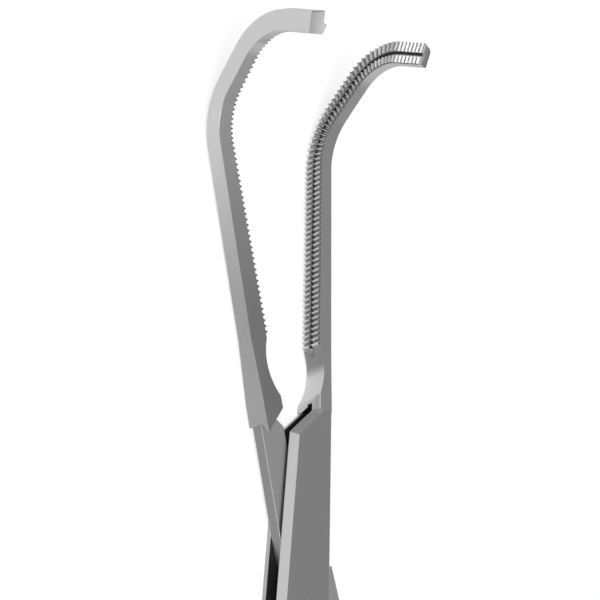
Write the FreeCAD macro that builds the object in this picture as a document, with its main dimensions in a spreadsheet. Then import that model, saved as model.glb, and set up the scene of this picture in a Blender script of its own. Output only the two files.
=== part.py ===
"""Pediatric vascular clamp: a box-lock forceps with angled jaws, drawn open.

Axes: X runs along the closed clamp to the jaw tips, Z is the hinge axis and the
origin lies on it, at the underside of the box lock. The female half keeps to the
closed position. The male half is drawn closed too and is then turned open.
"""
import FreeCAD, Part
import math
import os

import Sketcher
from FreeCAD import Placement, Rotation, Vector

SIZES = [
    # opening
    ("open_angle", 14.35, "turn of the male half at rest, degrees"),
    # box lock
    ("lock_thick", 2.5, "thickness of both halves at the lock"),
    ("front_wall", 0.65, "front wall of the box"),
    ("rear_wall", 0.5, "rear wall of the box"),
    ("lock_bevel", 0.6, "bevel of the slanted top and the leaning side, at the front"),
    ("side_bevel", 0.3, "bevel of the straight side of the box, at the front"),
    ("straight_side", 1.8, "hinge axis to the straight side of a half"),
    ("leaning_side", 3.6, "hinge axis to the leaning side of a half"),
    ("side_lean", 4.1, "lean of that side, degrees"),
    ("lock_top", 16.9, "hinge axis to the top of the box at mid line"),
    ("lock_foot", 11.0, "hinge axis to the foot of the box"),
    ("shoulder_gap", 0.12, "gap between box and shoulder when closed"),
    # slot and tongue
    ("tongue_lean", 6.7, "lean of the two relieved tongue sides, degrees"),
    ("tongue_break", 4.5, "hinge axis to where a tongue side turns in"),
    ("tongue_step", 3.0, "hinge axis to the step on the other side"),
    ("web_side", 0.7, "mid line to the side of the tongue above the step"),
    ("web_top", 15.0, "hinge axis to the upper corner of that side"),
    ("root_gap", 0.12, "gap between tongue side and box root when closed"),
    ("root_clear", 5.1, "hinge axis to the roots that join the box walls"),
    ("slot_notch", 0.75, "slot past the top of the box"),
    ("rear_gap", 0.06, "play behind the tongue"),
    ("front_gap", 0.2, "relief in front of the tongue"),
    # pin
    ("pin_radius", 1.1, "pivot pin"),
    ("pin_play", 0.03, "play of the tongue on the pin"),
    ("pin_seat", 0.005, "play of the pin in the box walls"),
    # jaw centre line, in the plane of the biting face
    ("row_start", 22.64, "hinge axis to the first tooth"),
    ("bend_one_along", 42.94, "hinge axis to the first corner"),
    ("bend_two_along", 48.69, "hinge axis to the second corner"),
    ("bend_two_rise", 7.89, "mid plane to the second corner"),
    ("tip_along", 45.64, "hinge axis to the tip"),
    ("tip_rise", 14.37, "mid plane to the tip"),
    ("bend_one_radius", 5.94, "first bend"),
    ("bend_two_radius", 5.8, "second bend"),
    # jaw section
    ("heel_lean", 11.3, "tilt of the faces on which the heels meet, degrees"),
    ("outer_start", 0.93, "mid line to outer edge at the first tooth"),
    ("outer_tip", 1.07, "mid line to outer edge at the tip"),
    ("inner_start", 1.17, "mid line to inner edge at the first tooth"),
    ("inner_tip", 0.91, "mid line to inner edge at the tip"),
    ("outer_draft", 0.17, "how much narrower the back is, outer side"),
    ("inner_draft", 0.28, "how much narrower the back is, inner side"),
    ("jaw_thick", 1.71, "jaw at the first tooth"),
    ("thin_along", 0.0163, "loss of thickness per length"),
    ("thin_rise", 0.0195, "loss of thickness per rise"),
    ("tip_slant", 0.5, "how much shorter the back is at the tip"),
    ("tip_round_female", 0.5, "rounded outer corner of the female tip"),
    ("tip_round_male", 0.15, "rounded outer corner of the male tip"),
    ("heel_back", 0.04, "heel surface behind the closing plane"),
    ("neck_depth", 0.65, "depth of the neck"),
    ("neck_foot", 17.9, "hinge axis to the lower end of the neck"),
    # teeth
    ("tooth_pitch", 0.49, "tooth to tooth"),
    ("tooth_base", 0.36, "tooth width at its foot"),
    ("tooth_crest", 0.05, "tooth width at its crest"),
    ("tooth_root", 0.2, "foot of the teeth behind the closing plane"),
    ("tooth_reach", 0.08, "crest of the teeth past the closing plane"),
    ("tooth_edge", 0.1, "tooth end to jaw edge"),
    ("row_margin", 0.25, "last tooth to the tip"),
    ("groove_steep", 0.13, "groove half width, steep side"),
    ("groove_slope", 0.3, "groove half width, sloping side"),
    ("groove_depth", 0.34, "groove below the closing plane"),
    ("ridge_height", 0.24, "ridge past the closing plane"),
    ("ridge_play", 0.045, "room beside the ridge"),
    # shanks
    ("shank_width", 3.4, "shank at the lock"),
    ("shank_mid_width", 2.9, "shank at its middle"),
    ("shank_end_width", 2.6, "shank at the ring"),
    ("shank_end_thick", 2.2, "thickness of the shank at the ring"),
    ("shank_corner", 0.3, "bevel of the shank at the lock"),
    ("shank_end_corner", 0.7, "bevel of the shank at the ring"),
    ("shank_mid_along", 42.0, "hinge axis to the middle of the shank"),
    ("shank_mid_out", 4.9, "mid line to the shank there"),
    ("shank_low_along", 72.0, "hinge axis to the ratchet"),
    ("shank_low_out", 5.2, "mid line to the shank there"),
    ("shank_end_out", 6.4, "mid line to the end of the shank"),
    # finger rings
    ("ring_along", 98.0, "hinge axis to the ring centre"),
    ("ring_out", 13.4, "mid line to the ring centre"),
    ("ring_half_length", 13.0, "ring centre line, along"),
    ("ring_half_width", 10.6, "ring centre line, across"),
    ("ring_wide", 2.8, "ring section, in its plane"),
    ("ring_thick", 2.4, "ring section, through it"),
    ("ring_corner", 0.75, "bevel of the ring section"),
    # ratchet
    ("rack_width", 3.4, "ratchet arm along the shank"),
    ("rack_reach", 3.4, "ratchet arm past the mid line"),
    ("rack_play", 0.03, "half the room between passing teeth"),
    ("rack_pitch", 1.1, "ratchet tooth to tooth"),
    ("rack_tooth", 0.4, "ratchet tooth height"),
    ("rack_slope", 0.35, "steep side of a ratchet tooth, across"),
]
RACK_TEETH = 4
JOINT_SHARPNESS = 1e-6

doc = FreeCAD.newDocument("vascular_clamp")
sheet = doc.addObject("Spreadsheet::Sheet", "Sizes")
for row, (name, number, note) in enumerate(SIZES, start=1):
    sheet.set(f"A{row}", name)
    sheet.set(f"B{row}", str(number))
    sheet.set(f"C{row}", note)
    sheet.setAlias(f"B{row}", name)
doc.recompute()


def formula(text):
    """The value of a formula on the sheet's names."""
    found = sheet.evalExpression(text)
    return float(getattr(found, "Value", found))


def size(name):
    """One driving dimension."""
    return formula("Sizes." + name)


# Formulas that several outlines share. A half is drawn as the female one, with its
# straight side on the right (-Y) and its leaning side on the left (+Y).
LEAN = "tan(Sizes.side_lean * 1 deg)"
TURN_IN = "tan(Sizes.tongue_lean * 1 deg)"
TOP = "Sizes.lock_top"
FOOT = "Sizes.lock_foot"
SIDE = "Sizes.straight_side"
WEB = "Sizes.web_side"
MID_HEIGHT = "Sizes.lock_thick / 2"
# where the two halves' slanted shoulders cross the mid line
SHOULDER = "(Sizes.lock_top + Sizes.shoulder_gap * sqrt(2))"


def leaning(along):
    """Distance of the leaning side from the mid line."""
    return f"(Sizes.leaning_side - ({along}) * {LEAN})"


SHANK_OUTER = leaning("-" + FOOT)
SHANK_INNER = f"({SHANK_OUTER} - Sizes.shank_width)"
# the shank ends on the centre line of its ring
SHANK_END = ("(Sizes.ring_along - Sizes.ring_half_length"
             " * sqrt(1 - ((Sizes.ring_out - Sizes.shank_end_out) / Sizes.ring_half_width) ^ 2))")


def inner_line(along, room):
    """Distance of a relieved tongue side from the mid line, with room beside it."""
    return f"({SIDE} - Sizes.tongue_break * {TURN_IN} + {room} - ({along}) * {TURN_IN})"


def box_outline():
    """Corners of the box: slanted at the top left and at the lower right."""
    corner = f"(({TOP} - Sizes.leaning_side) / (1 - {LEAN}))"
    return [
        (TOP, "0"),
        (TOP, f"-{SIDE}"),
        (f"-({FOOT} - {SIDE} - {SHANK_INNER})", f"-{SIDE}"),
        (f"-{FOOT}", SHANK_INNER),
        (f"-{FOOT}", SHANK_OUTER),
        (corner, leaning(corner)),
    ]


def slot_outline():
    """Corners of the slot: open to the left above the pin, to the right below it."""
    wide = "(3 * Sizes.leaning_side)"
    end = f"({TOP} + Sizes.slot_notch)"
    near = "Sizes.root_clear"
    room = "Sizes.root_gap"
    return [
        (end, f"-({WEB} + {room})"),
        (end, wide),
        (f"-{near}", wide),
        (f"-{near}", inner_line(near, room)),
        (f"-{end}", inner_line(end, room)),
        (f"-{end}", f"-{wide}"),
        (near, f"-{wide}"),
        (near, f"-({WEB} + {room})"),
    ]


def tongue_outline():
    """Corners of the tongue that passes through the slot."""
    step = "Sizes.tongue_step"
    peak = f"({SHOULDER} - Sizes.web_top - {WEB}) / 2"
    return [
        ("Sizes.web_top", f"-{WEB}"),
        (f"{SHOULDER} - {peak}", peak),
        (f"{SHOULDER} - {SIDE}", SIDE),
        ("Sizes.tongue_break", SIDE),
        (f"-{FOOT}", inner_line(FOOT, 0)),
        (f"-{FOOT}", f"-{SHANK_OUTER}"),
        (step, f"-{leaning(step)}"),
        (step, f"-{WEB}"),
    ]


def lower_shoulder():
    """Corners of the male root below the box, parallel to the slanted foot."""
    gap = "(Sizes.shoulder_gap * sqrt(2))"
    line = f"({FOOT} - {SHANK_INNER} + {gap})"
    corner = f"(({line} - Sizes.leaning_side) / (1 + {LEAN}))"
    return [
        (f"-{FOOT}", f"-({SHANK_INNER} + {gap})"),
        (f"-{FOOT}", f"-{SHANK_OUTER}"),
        (f"-{corner}", f"-{leaning('-' + corner)}"),
    ]


def new_body(name):
    """A body named as its node."""
    body = doc.addObject("PartDesign::Body", name)
    body.Label = name
    return body


def origin_plane(body, role):
    """One of a body's own origin planes."""
    for feature in body.Origin.OriginFeatures:
        if feature.Role == role:
            return feature
    raise ValueError(role)


def new_sketch(body, name, role, offset="0"):
    """A sketch on an origin plane, moved along the plane's normal by a formula."""
    sketch = body.newObject("Sketcher::SketchObject", name)
    sketch.AttachmentSupport = [(origin_plane(body, role), "")]
    sketch.MapMode = "FlatFace"
    sketch.setExpression(".AttachmentOffset.Base.z", offset)
    return sketch


def bind(sketch, kind, geometry, text):
    """A dimension that follows a formula."""
    number = sketch.addConstraint(Sketcher.Constraint(kind, *geometry, formula(text)))
    sketch.setExpression(f"Constraints[{number}]", text)


def draw_polygon(sketch, corners):
    """A closed outline whose corners are pairs of formulas."""
    places = [Vector(formula(across), formula(up), 0) for across, up in corners]
    count = len(places)
    for index in range(count):
        sketch.addGeometry(Part.LineSegment(places[index], places[(index + 1) % count]), False)
    for index in range(count):
        sketch.addConstraint(Sketcher.Constraint("Coincident", index, 2, (index + 1) % count, 1))
    for index, (across, up) in enumerate(corners):
        bind(sketch, "DistanceX", (-1, 1, index, 1), across)
        bind(sketch, "DistanceY", (-1, 1, index, 1), up)


def draw_circle(sketch, radius):
    """A circle about the sketch's origin."""
    circle = sketch.addGeometry(Part.Circle(Vector(0, 0, 0), Vector(0, 0, 1), formula(radius)), False)
    sketch.addConstraint(Sketcher.Constraint("Coincident", circle, 3, -1, 1))
    bind(sketch, "Radius", (circle,), radius)


def add_pad(body, name, corners, bottom, height):
    """Pad an outline upwards from a height."""
    sketch = new_sketch(body, name + "_outline", "XY_Plane", bottom)
    draw_polygon(sketch, corners)
    pad = body.newObject("PartDesign::Pad", name)
    pad.Profile = sketch
    pad.setExpression("Length", height)
    body.Tip = pad
    doc.recompute()
    return pad


def add_bevel(body, base, name, depth, test):
    """Chamfer the edges whose ends both pass a test."""
    names = []
    for number, edge in enumerate(base.Shape.Edges, start=1):
        if len(edge.Vertexes) == 2 and all(test(vertex.Point) for vertex in edge.Vertexes):
            names.append(f"Edge{number}")
    bevel = body.newObject("PartDesign::Chamfer", name)
    bevel.Base = (base, names)
    bevel.setExpression("Size", depth)
    body.Tip = bevel
    doc.recompute()
    return bevel


def add_bore(body, radius):
    """A through bore on the hinge axis."""
    sketch = new_sketch(body, body.Name + "_bore_circle", "XY_Plane")
    draw_circle(sketch, radius)
    bore = body.newObject("PartDesign::Pocket", body.Name + "_bore")
    bore.Profile = sketch
    bore.Type = "ThroughAll"
    bore.SideType = "Symmetric"
    body.Tip = bore
    doc.recompute()


def make_female_box():
    """The box: one block, bevelled at the front, with the slot right through it."""
    body = new_body("female_box")
    block = add_pad(body, "box_block", box_outline(), "0", "Sizes.lock_thick")
    front = size("lock_thick")
    right = -size("straight_side")

    def on_straight_side(point):
        """True at the front of the straight side."""
        return abs(point.z - front) < JOINT_SHARPNESS and abs(point.y - right) < JOINT_SHARPNESS

    def on_left(point):
        """True at the front of the slanted top and the leaning side."""
        if abs(point.z - front) > JOINT_SHARPNESS or point.y < right + JOINT_SHARPNESS:
            return False
        return point.x > 0 or point.y > size("leaning_side")

    bevel = add_bevel(body, block, "box_bevel", "Sizes.lock_bevel", on_left)
    add_bevel(body, bevel, "box_side_bevel", "Sizes.side_bevel", on_straight_side)
    cut = new_sketch(body, "box_slot_outline", "XY_Plane", "Sizes.rear_wall")
    draw_polygon(cut, slot_outline())
    slot = body.newObject("PartDesign::Pocket", "box_slot")
    slot.Profile = cut
    slot.setExpression("Length", "Sizes.lock_thick - Sizes.front_wall - Sizes.rear_wall")
    slot.Reversed = True
    body.Tip = slot
    doc.recompute()
    add_bore(body, "Sizes.pin_radius + Sizes.pin_seat")
    return body


def make_male_tongue():
    """The tongue between its two shoulders, which stop the box's ends when closed."""
    body = new_body("male_tongue")
    bottom = "Sizes.rear_wall + Sizes.rear_gap"
    height = "Sizes.lock_thick - Sizes.front_wall - Sizes.rear_wall - Sizes.rear_gap - Sizes.front_gap"
    add_pad(body, "tongue_plate", tongue_outline(), bottom, height)
    add_pad(body, "tongue_lower_root", lower_shoulder(), "0", "Sizes.lock_thick")
    add_bore(body, "Sizes.pin_radius + Sizes.pin_play")
    return body


def make_pivot_pin():
    """The pin, ground flush with both faces of the box."""
    pin = doc.addObject("Part::Cylinder", "pivot_pin")
    pin.Label = "pivot_pin"
    pin.setExpression("Radius", "Sizes.pin_radius")
    pin.setExpression("Height", "Sizes.lock_thick")
    return pin


def octagon(width, thick, corner, out):
    """Corners of a bevelled rectangle at mid height, drawn from its right side."""
    half = f"({width}) / 2"
    rise = f"({thick}) / 2"
    points = []
    for across, up, first in ((1, 1, True), (-1, 1, False), (-1, -1, True), (1, -1, False)):
        beside = (f"{out} + {across} * ({half})", f"{MID_HEIGHT} + {up} * ({rise} - {corner})")
        above = (f"{out} + {across} * ({half} - {corner})", f"{MID_HEIGHT} + {up} * ({rise})")
        points += [beside, above] if first else [above, beside]
    return points


def make_shank(name, side):
    """A shank lofted through four bevelled sections, the first on the box's foot."""
    body = new_body(name)
    stations = [
        (FOOT, "Sizes.shank_width", "Sizes.lock_thick", "Sizes.shank_corner",
         f"({SHANK_OUTER} - Sizes.shank_width / 2)"),
        ("Sizes.shank_mid_along", "Sizes.shank_mid_width", "Sizes.lock_thick",
         "(Sizes.shank_corner + Sizes.shank_end_corner) / 2", "Sizes.shank_mid_out"),
        ("Sizes.shank_low_along", "(Sizes.shank_mid_width + Sizes.shank_end_width) / 2",
         "(Sizes.lock_thick + Sizes.shank_end_thick) / 2", "Sizes.shank_end_corner", "Sizes.shank_low_out"),
        (SHANK_END, "Sizes.shank_end_width", "Sizes.shank_end_thick",
         "Sizes.shank_end_corner", "Sizes.shank_end_out"),
    ]
    sketches = []
    for number, (along, width, thick, corner, out) in enumerate(stations):
        sketch = new_sketch(body, f"{name}_section_{number}", "YZ_Plane", f"-({along})")
        draw_polygon(sketch, octagon(width, thick, corner, f"{side} * ({out})"))
        sketches.append(sketch)
    loft = body.newObject("PartDesign::AdditiveLoft", name + "_loft")
    loft.Profile = sketches[0]
    loft.Sections = sketches[1:]
    body.Tip = loft
    doc.recompute()
    return body


def draw_oval(sketch, along, up, length, width):
    """An ellipse whose long axis is level; place and full sizes are formulas."""
    centre = Vector(formula(along), formula(up), 0)
    oval = sketch.addGeometry(Part.Ellipse(centre, formula(length) / 2, formula(width) / 2), False)
    sketch.exposeInternalGeometry(oval)
    bind(sketch, "DistanceX", (-1, 1, oval, 3), along)
    bind(sketch, "DistanceY", (-1, 1, oval, 3), up)
    long_axis = oval + 1
    short_axis = oval + 2
    sketch.addConstraint(Sketcher.Constraint("Horizontal", long_axis))
    bind(sketch, "Distance", (long_axis, 1, long_axis, 2), length)
    bind(sketch, "Distance", (short_axis, 1, short_axis, 2), width)


def make_ring(name, side):
    """A finger ring: a bevelled section swept round an oval from its end by the shank."""
    body = new_body(name)
    path = new_sketch(body, name + "_path", "XY_Plane", MID_HEIGHT)
    draw_oval(path, "-Sizes.ring_along", f"{side} * Sizes.ring_out", "2 * Sizes.ring_half_length",
              "2 * Sizes.ring_half_width")
    section = new_sketch(body, name + "_section", "XZ_Plane", f"-{side} * Sizes.ring_out")
    draw_polygon(section, octagon("Sizes.ring_wide", "Sizes.ring_thick", "Sizes.ring_corner",
                                  "(Sizes.ring_half_length - Sizes.ring_along)"))
    pipe = body.newObject("PartDesign::AdditivePipe", name + "_pipe")
    pipe.Profile = section
    pipe.Spine = (path, ["Edge1"])
    body.Tip = pipe
    doc.recompute()
    return body


def rack_outline(side):
    """Corners of a ratchet arm seen from the jaws, its teeth towards the other arm."""
    root = f"{side} * Sizes.shank_low_out"
    tip = f"{-side} * Sizes.rack_reach"
    outer = f"{MID_HEIGHT} + {side} * Sizes.shank_end_thick / 2"
    crest = f"{MID_HEIGHT} + {side} * Sizes.rack_play"
    valley = f"{crest} + {side} * Sizes.rack_tooth"
    points = [(root, outer), (tip, outer)]
    for number in range(RACK_TEETH):
        start = f"{tip} + {side * number} * Sizes.rack_pitch"
        points.append((start, crest))
        points.append((f"{start} + {side} * Sizes.rack_slope", crest))
        points.append((f"{start} + {side} * Sizes.rack_pitch", valley))
    last = f"{tip} + {side * RACK_TEETH} * Sizes.rack_pitch"
    points.append((f"{last} + {side} * Sizes.rack_slope", valley))
    points.append((root, crest))
    return points


def make_rack(name, side):
    """A ratchet arm that reaches across to the other shank."""
    body = new_body(name)
    sketch = new_sketch(body, name + "_outline", "YZ_Plane", "-Sizes.shank_low_along - Sizes.rack_width / 2")
    draw_polygon(sketch, rack_outline(side))
    pad = body.newObject("PartDesign::Pad", name + "_pad")
    pad.Profile = sketch
    pad.setExpression("Length", "Sizes.rack_width")
    body.Tip = pad
    doc.recompute()
    return body


def fit_to(name, piece, neighbour):
    """A piece cut back to the face of the neighbour that it grows out of."""
    piece.Label = name + "_blank"
    cut = doc.addObject("Part::Cut", name + "_fitted")
    cut.Base = piece
    cut.Tool = neighbour
    cut.Label = name
    doc.recompute()
    return cut


class CentreLine:
    """The jaw's centre line in its biting plane: three straights and two bends."""

    def __init__(self):
        corners = [
            Vector(size("row_start"), 0, 0),
            Vector(size("bend_one_along"), 0, 0),
            Vector(size("bend_two_along"), 0, size("bend_two_rise")),
            Vector(size("tip_along"), 0, size("tip_rise")),
        ]
        self.start = corners[0]
        self.tip = corners[3]
        self.runs = []
        last = corners[0]
        ways = [(corners[i + 1] - corners[i]).normalize() for i in range(3)]
        radii = [size("bend_one_radius"), size("bend_two_radius")]
        for index in range(2):
            turn = ways[index].getAngle(ways[index + 1])
            tangent = radii[index] * math.tan(turn / 2)
            begin = corners[index + 1] - ways[index] * tangent
            end = corners[index + 1] + ways[index + 1] * tangent
            self.runs.append(("line", last, begin, ways[index], 0.0, 0.0))
            self.runs.append(("bend", begin, end, ways[index], radii[index], turn))
            last = end
        self.runs.append(("line", last, self.tip, ways[2], 0.0, 0.0))
        self.lengths = []
        for kind, begin, end, way, radius, turn in self.runs:
            self.lengths.append(radius * turn if kind == "bend" else (end - begin).Length)
        self.length = sum(self.lengths)

    def at(self, distance):
        """The place and direction at a distance from the first tooth."""
        for run, length in zip(self.runs, self.lengths):
            kind, begin, end, way, radius, turn = run
            if distance <= length or run is self.runs[-1]:
                if kind == "line":
                    return begin + way * distance, way
                inward = Vector(-way.z, 0, way.x)
                angle = distance / radius
                place = begin + way * (radius * math.sin(angle)) + inward * (radius * (1 - math.cos(angle)))
                return place, way * math.cos(angle) + inward * math.sin(angle)
            distance -= length
        raise ValueError(distance)

    def marks(self):
        """Distances of the ends of the runs."""
        total = 0.0
        found = [0.0]
        for length in self.lengths:
            total += length
            found.append(total)
        return found


def edge_widths(share):
    """Outer and inner half widths of the biting face, from first tooth to tip."""
    outer = size("outer_start") + (size("outer_tip") - size("outer_start")) * share
    inner = size("inner_start") + (size("inner_tip") - size("inner_start")) * share
    return outer, inner


def back_depth(place):
    """Thickness of the jaw at a place on its centre line."""
    lost = size("thin_along") * (place.x - size("row_start")) + size("thin_rise") * place.z
    return size("jaw_thick") - lost


def jaw_outline(line, heel_ends, share, round_tip, level):
    """Closed outline of the jaw at a level, which is a function of the place.

    The share is 0 at the closing plane and 1 at the back. Each heel end is a distance
    along and how much of the inner draft reaches there.
    """
    outer_draft = size("outer_draft") * share
    inner_draft = size("inner_draft") * share

    def beside(distance, outwards, extra=0.0):
        """A point on the outer or inner edge."""
        place, way = line.at(distance)
        outer, inner = edge_widths(distance / line.length)
        offset = outer - outer_draft if outwards else -(inner - inner_draft)
        offset += extra
        point = place + Vector(way.z, 0, -way.x) * offset
        return Vector(point.x, level(point), point.z)

    heel = size("lock_thick") / 2
    heel_low = [Vector(along, 0, max(outer_draft, 0) - heel) for along, _ in heel_ends]
    heel_high = [Vector(along, 0, heel - max(inner_draft, 0) * drafted) for along, drafted in heel_ends]
    for corner in heel_low + heel_high:
        corner.y = level(corner)
    marks = line.marks()
    end = line.length - size("tip_slant") * share
    lower = heel_low + [beside(0, True)]
    upper = heel_high + [beside(0, False)]
    edges = [Part.LineSegment(heel_high[0], heel_low[0])]
    for side in (lower, upper):
        edges += [Part.LineSegment(first, last) for first, last in zip(side, side[1:])]

    def follow(outwards):
        """Edges along one side, from the first tooth to near the tip."""
        found = []
        stop = end - round_tip if outwards else end
        ends = marks[:-1] + [stop]
        for index in range(5):
            first, last = ends[index], ends[index + 1]
            if index % 2:
                middle = beside((first + last) / 2, outwards)
                found.append(Part.Arc(beside(first, outwards), middle, beside(last, outwards)))
            else:
                found.append(Part.LineSegment(beside(first, outwards), beside(last, outwards)))
        return found

    edges += follow(True)
    near = round_tip * (1 - math.sqrt(0.5))
    edges.append(Part.Arc(beside(end - round_tip, True),
                          beside(end - near, True, -near),
                          beside(end, True, -round_tip)))
    edges.append(Part.LineSegment(beside(end, True, -round_tip), beside(end, False)))
    edges += follow(False)
    return Part.Wire(Part.__sortEdges__([edge.toShape() for edge in edges]))


def swept_bar(line, corners):
    """A bar of constant section along the centre line; corners are across and out."""
    edges = []
    for kind, begin, end, way, radius, turn in line.runs:
        if kind == "line":
            edges.append(Part.LineSegment(begin, end).toShape())
        else:
            inward = Vector(-way.z, 0, way.x)
            middle = begin + way * (radius * math.sin(turn / 2)) + inward * (radius * (1 - math.cos(turn / 2)))
            edges.append(Part.Arc(begin, middle, end).toShape())
    spine = Part.Wire(edges)
    points = [Vector(line.start.x, out, -across) for across, out in corners]
    profile = Part.makePolygon(points + points[:1])
    return spine.makePipeShell([profile], True, False)


def tooth(line, distance, from_middle, to_edge, outwards):
    """One transverse tooth, as a prism from beside the mid line to near the edge."""
    place, way = line.at(distance)
    across = Vector(way.z, 0, -way.x)
    if not outwards:
        across = across * -1
    base = size("tooth_base") / 2
    crest = size("tooth_crest") / 2
    foot = -size("tooth_root") - size("tooth_crest")
    top = size("tooth_reach")
    corners = []
    for along, level in ((-base, foot), (base, foot), (crest, top), (-crest, top)):
        corners.append(place + way * along + across * from_middle + Vector(0, level, 0))
    face = Part.Face(Part.makePolygon(corners + corners[:1]))
    return face.extrude(across * (to_edge - from_middle))


def tooth_rows(line, shift):
    """Both rows of teeth; the shift is in tooth pitches."""
    teeth = []
    pitch = size("tooth_pitch")
    count = int((line.length - size("row_margin")) / pitch - shift)
    for number in range(count):
        distance = (number + shift) * pitch + size("tooth_base") / 2
        outer, inner = edge_widths(distance / line.length)
        margin = size("tooth_edge")
        teeth.append(tooth(line, distance, size("groove_steep"), outer - margin, True))
        teeth.append(tooth(line, distance, size("groove_slope"), inner - margin, False))
    return teeth


def jaw_blank(line, heel_ends, tilt, round_tip):
    """The jaw without teeth, its heel cut to a tilted face and its neck recessed.

    It lies below y = 0, but for one edge of the heel face, whose tilt is +1 or -1.
    """
    heel = size("heel_back")
    slope = math.tan(math.radians(size("heel_lean")))
    rise = size("lock_thick") / 2 * slope
    raised = jaw_outline(line, heel_ends, -rise / size("jaw_thick"), round_tip, lambda point: rise)
    back = jaw_outline(line, heel_ends, 1.0, round_tip, lambda point: -back_depth(point))
    blank = Part.makeLoft([raised, back], True, True)
    # neck: a scoop through three points, its axis along Z
    first = Vector(size("row_start") - size("tooth_base") / 2, -size("tooth_root"), 0)
    last = Vector(size("neck_foot"), -heel, 0)
    deepest = Vector((first.x + last.x) / 2, -size("neck_depth"), 0)
    scoop = Part.Circle(first, deepest, last)
    reach = size("lock_thick")
    neck = Part.makeCylinder(scoop.Radius, 2 * reach, scoop.Center - Vector(0, 0, reach), Vector(0, 0, 1))
    # heel face: all in front of it goes, as far as the middle of the neck
    corners = []
    for up, out in ((-1, 0), (1, 0), (1, 1), (-1, 1)):
        corners.append(Vector(0, reach * (out - tilt * up * slope) - heel, reach * up))
    in_front = Part.Face(Part.makePolygon(corners + corners[:1])).extrude(Vector(deepest.x, 0, 0))
    # the toothed stretch is lower than the heel by the depth of the tooth roots
    long_way = 2 * size("bend_two_along")
    step = Part.makeBox(long_way, 1.0, long_way, Vector(first.x, -size("tooth_root"), -reach))
    return blank.cut([neck, in_front, step])


def below_shoulder():
    """The room below the male shoulder, parallel to the box's slanted top and its bevel."""
    top = size("lock_thick")
    bevel = size("lock_bevel")
    edge = formula(SHOULDER) / math.sqrt(2)
    far = edge - 2 * size("leaning_side")
    across = Vector(1, 1, 0).normalize()
    corners = []
    for out, up in ((far, -top), (edge, -top), (edge, top - bevel), (edge - 2 * bevel, top + bevel),
                    (far, top + bevel)):
        corners.append(across * out + Vector(edge, -edge, up))
    return Part.Face(Part.makePolygon(corners + corners[:1])).extrude(Vector(-edge, edge, 0))


def placed(shape):
    """A shape raised so that the rest face lies at z = 0."""
    raised = FreeCAD.Matrix()
    raised.move(Vector(0, 0, size("lock_thick") / 2))
    return shape.transformed(raised, copy=True)


def mirrored(shape):
    """The other half's hand."""
    return shape.mirror(Vector(0, 0, 0), Vector(0, 1, 0))


def make_female_jaw():
    """The jaw with two rows of teeth and a groove between them."""
    line = CentreLine()
    jaw = jaw_blank(line, [(size("lock_top"), 1)], 1, size("tip_round_female"))
    jaw = jaw.fuse(tooth_rows(line, 0.0))
    open_side = size("tooth_reach") * 2
    groove = swept_bar(line, [
        (size("groove_steep"), open_side),
        (-size("groove_slope"), open_side),
        (-size("groove_steep") / 4, -size("groove_depth")),
    ])
    jaw = placed(jaw.cut(groove))
    corners = [Vector(formula(along), formula(out), 0) for along, out in slot_outline()]
    notch = Part.Face(Part.makePolygon(corners + corners[:1]))
    slot = notch.extrude(Vector(0, 0, size("lock_thick") - size("front_wall") - size("rear_wall")))
    slot.translate(Vector(0, 0, size("rear_wall")))
    return add_feature("female_jaw", jaw.cut(slot))


def make_male_jaw():
    """The jaw whose ridge enters the other's groove; its teeth stand half a pitch on.

    Its root reaches down past the box's slanted top to the shoulder on the tongue.
    """
    line = CentreLine()
    heel_ends = [(size("lock_top") - 2 * size("straight_side"), 0), (size("lock_top"), 0)]
    jaw = jaw_blank(line, heel_ends, -1, size("tip_round_male"))
    jaw = jaw.fuse(tooth_rows(line, 0.5))
    foot = -size("tooth_root") - size("tooth_crest")
    play = size("ridge_play")
    ridge = swept_bar(line, [
        (size("groove_steep") - play, foot),
        (size("groove_steep") - play, -size("tooth_root")),
        (-size("groove_steep") / 4, size("ridge_height")),
        (-(size("groove_slope") - play), -size("tooth_root")),
        (-(size("groove_slope") - play), foot),
    ])
    jaw = jaw.fuse(ridge)
    return add_feature("male_jaw", mirrored(placed(jaw)).cut(below_shoulder()))


def add_feature(name, shape):
    """Keep a finished shape as an object of the document."""
    feature = doc.addObject("Part::Feature", name)
    feature.Label = name
    feature.Shape = shape
    return feature


def build():
    """Every sub-part of both halves."""
    female = [make_female_jaw(), make_female_box()]
    male = [make_male_jaw(), make_male_tongue()]
    for half, prefix, side in ((female, "female", 1), (male, "male", -1)):
        ring = make_ring(prefix + "_ring", side)
        shank = fit_to(prefix + "_shank", make_shank(prefix + "_shank", side), ring)
        rack = fit_to(prefix + "_ratchet", make_rack(prefix + "_ratchet", side), shank)
        half += [shank, rack, ring]
    opened = Placement(Vector(0, 0, 0), Rotation(Vector(0, 0, 1), size("open_angle")))
    for piece in male:
        for blank in [piece] + [part for part in piece.OutList if part.TypeId == "PartDesign::Body"]:
            if blank.TypeId != "Part::Cut":
                blank.Placement = opened
    doc.recompute()
    return female + [make_pivot_pin()] + male


def check(parts):
    """Stop if an object failed or a sub-part has no sound shape."""
    doc.recompute()
    for item in doc.Objects:
        if "Invalid" in item.State or "Error" in item.State:
            raise RuntimeError(f"{item.Label} failed: {item.State}")
    for part in parts:
        if part.Shape.isNull() or not part.Shape.isValid():
            raise RuntimeError(f"{part.Label} has no sound shape")


pieces = build()
check(pieces)
os.makedirs("parts", exist_ok=True)
for piece in pieces:
    piece.Shape.exportStep(f"parts/{piece.Label}.step")
    box = piece.Shape.BoundBox
    print(f"{piece.Label}: {len(piece.Shape.Solids)} solid, {piece.Shape.Volume:.2f} mm3, "
          f"x {box.XMin:.2f} {box.XMax:.2f}, y {box.YMin:.2f} {box.YMax:.2f}, z {box.ZMin:.2f} {box.ZMax:.2f}")
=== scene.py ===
"""The look of the vascular clamp: satin steel jaws with fine teeth, box lock, shanks and rings."""

import math

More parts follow.
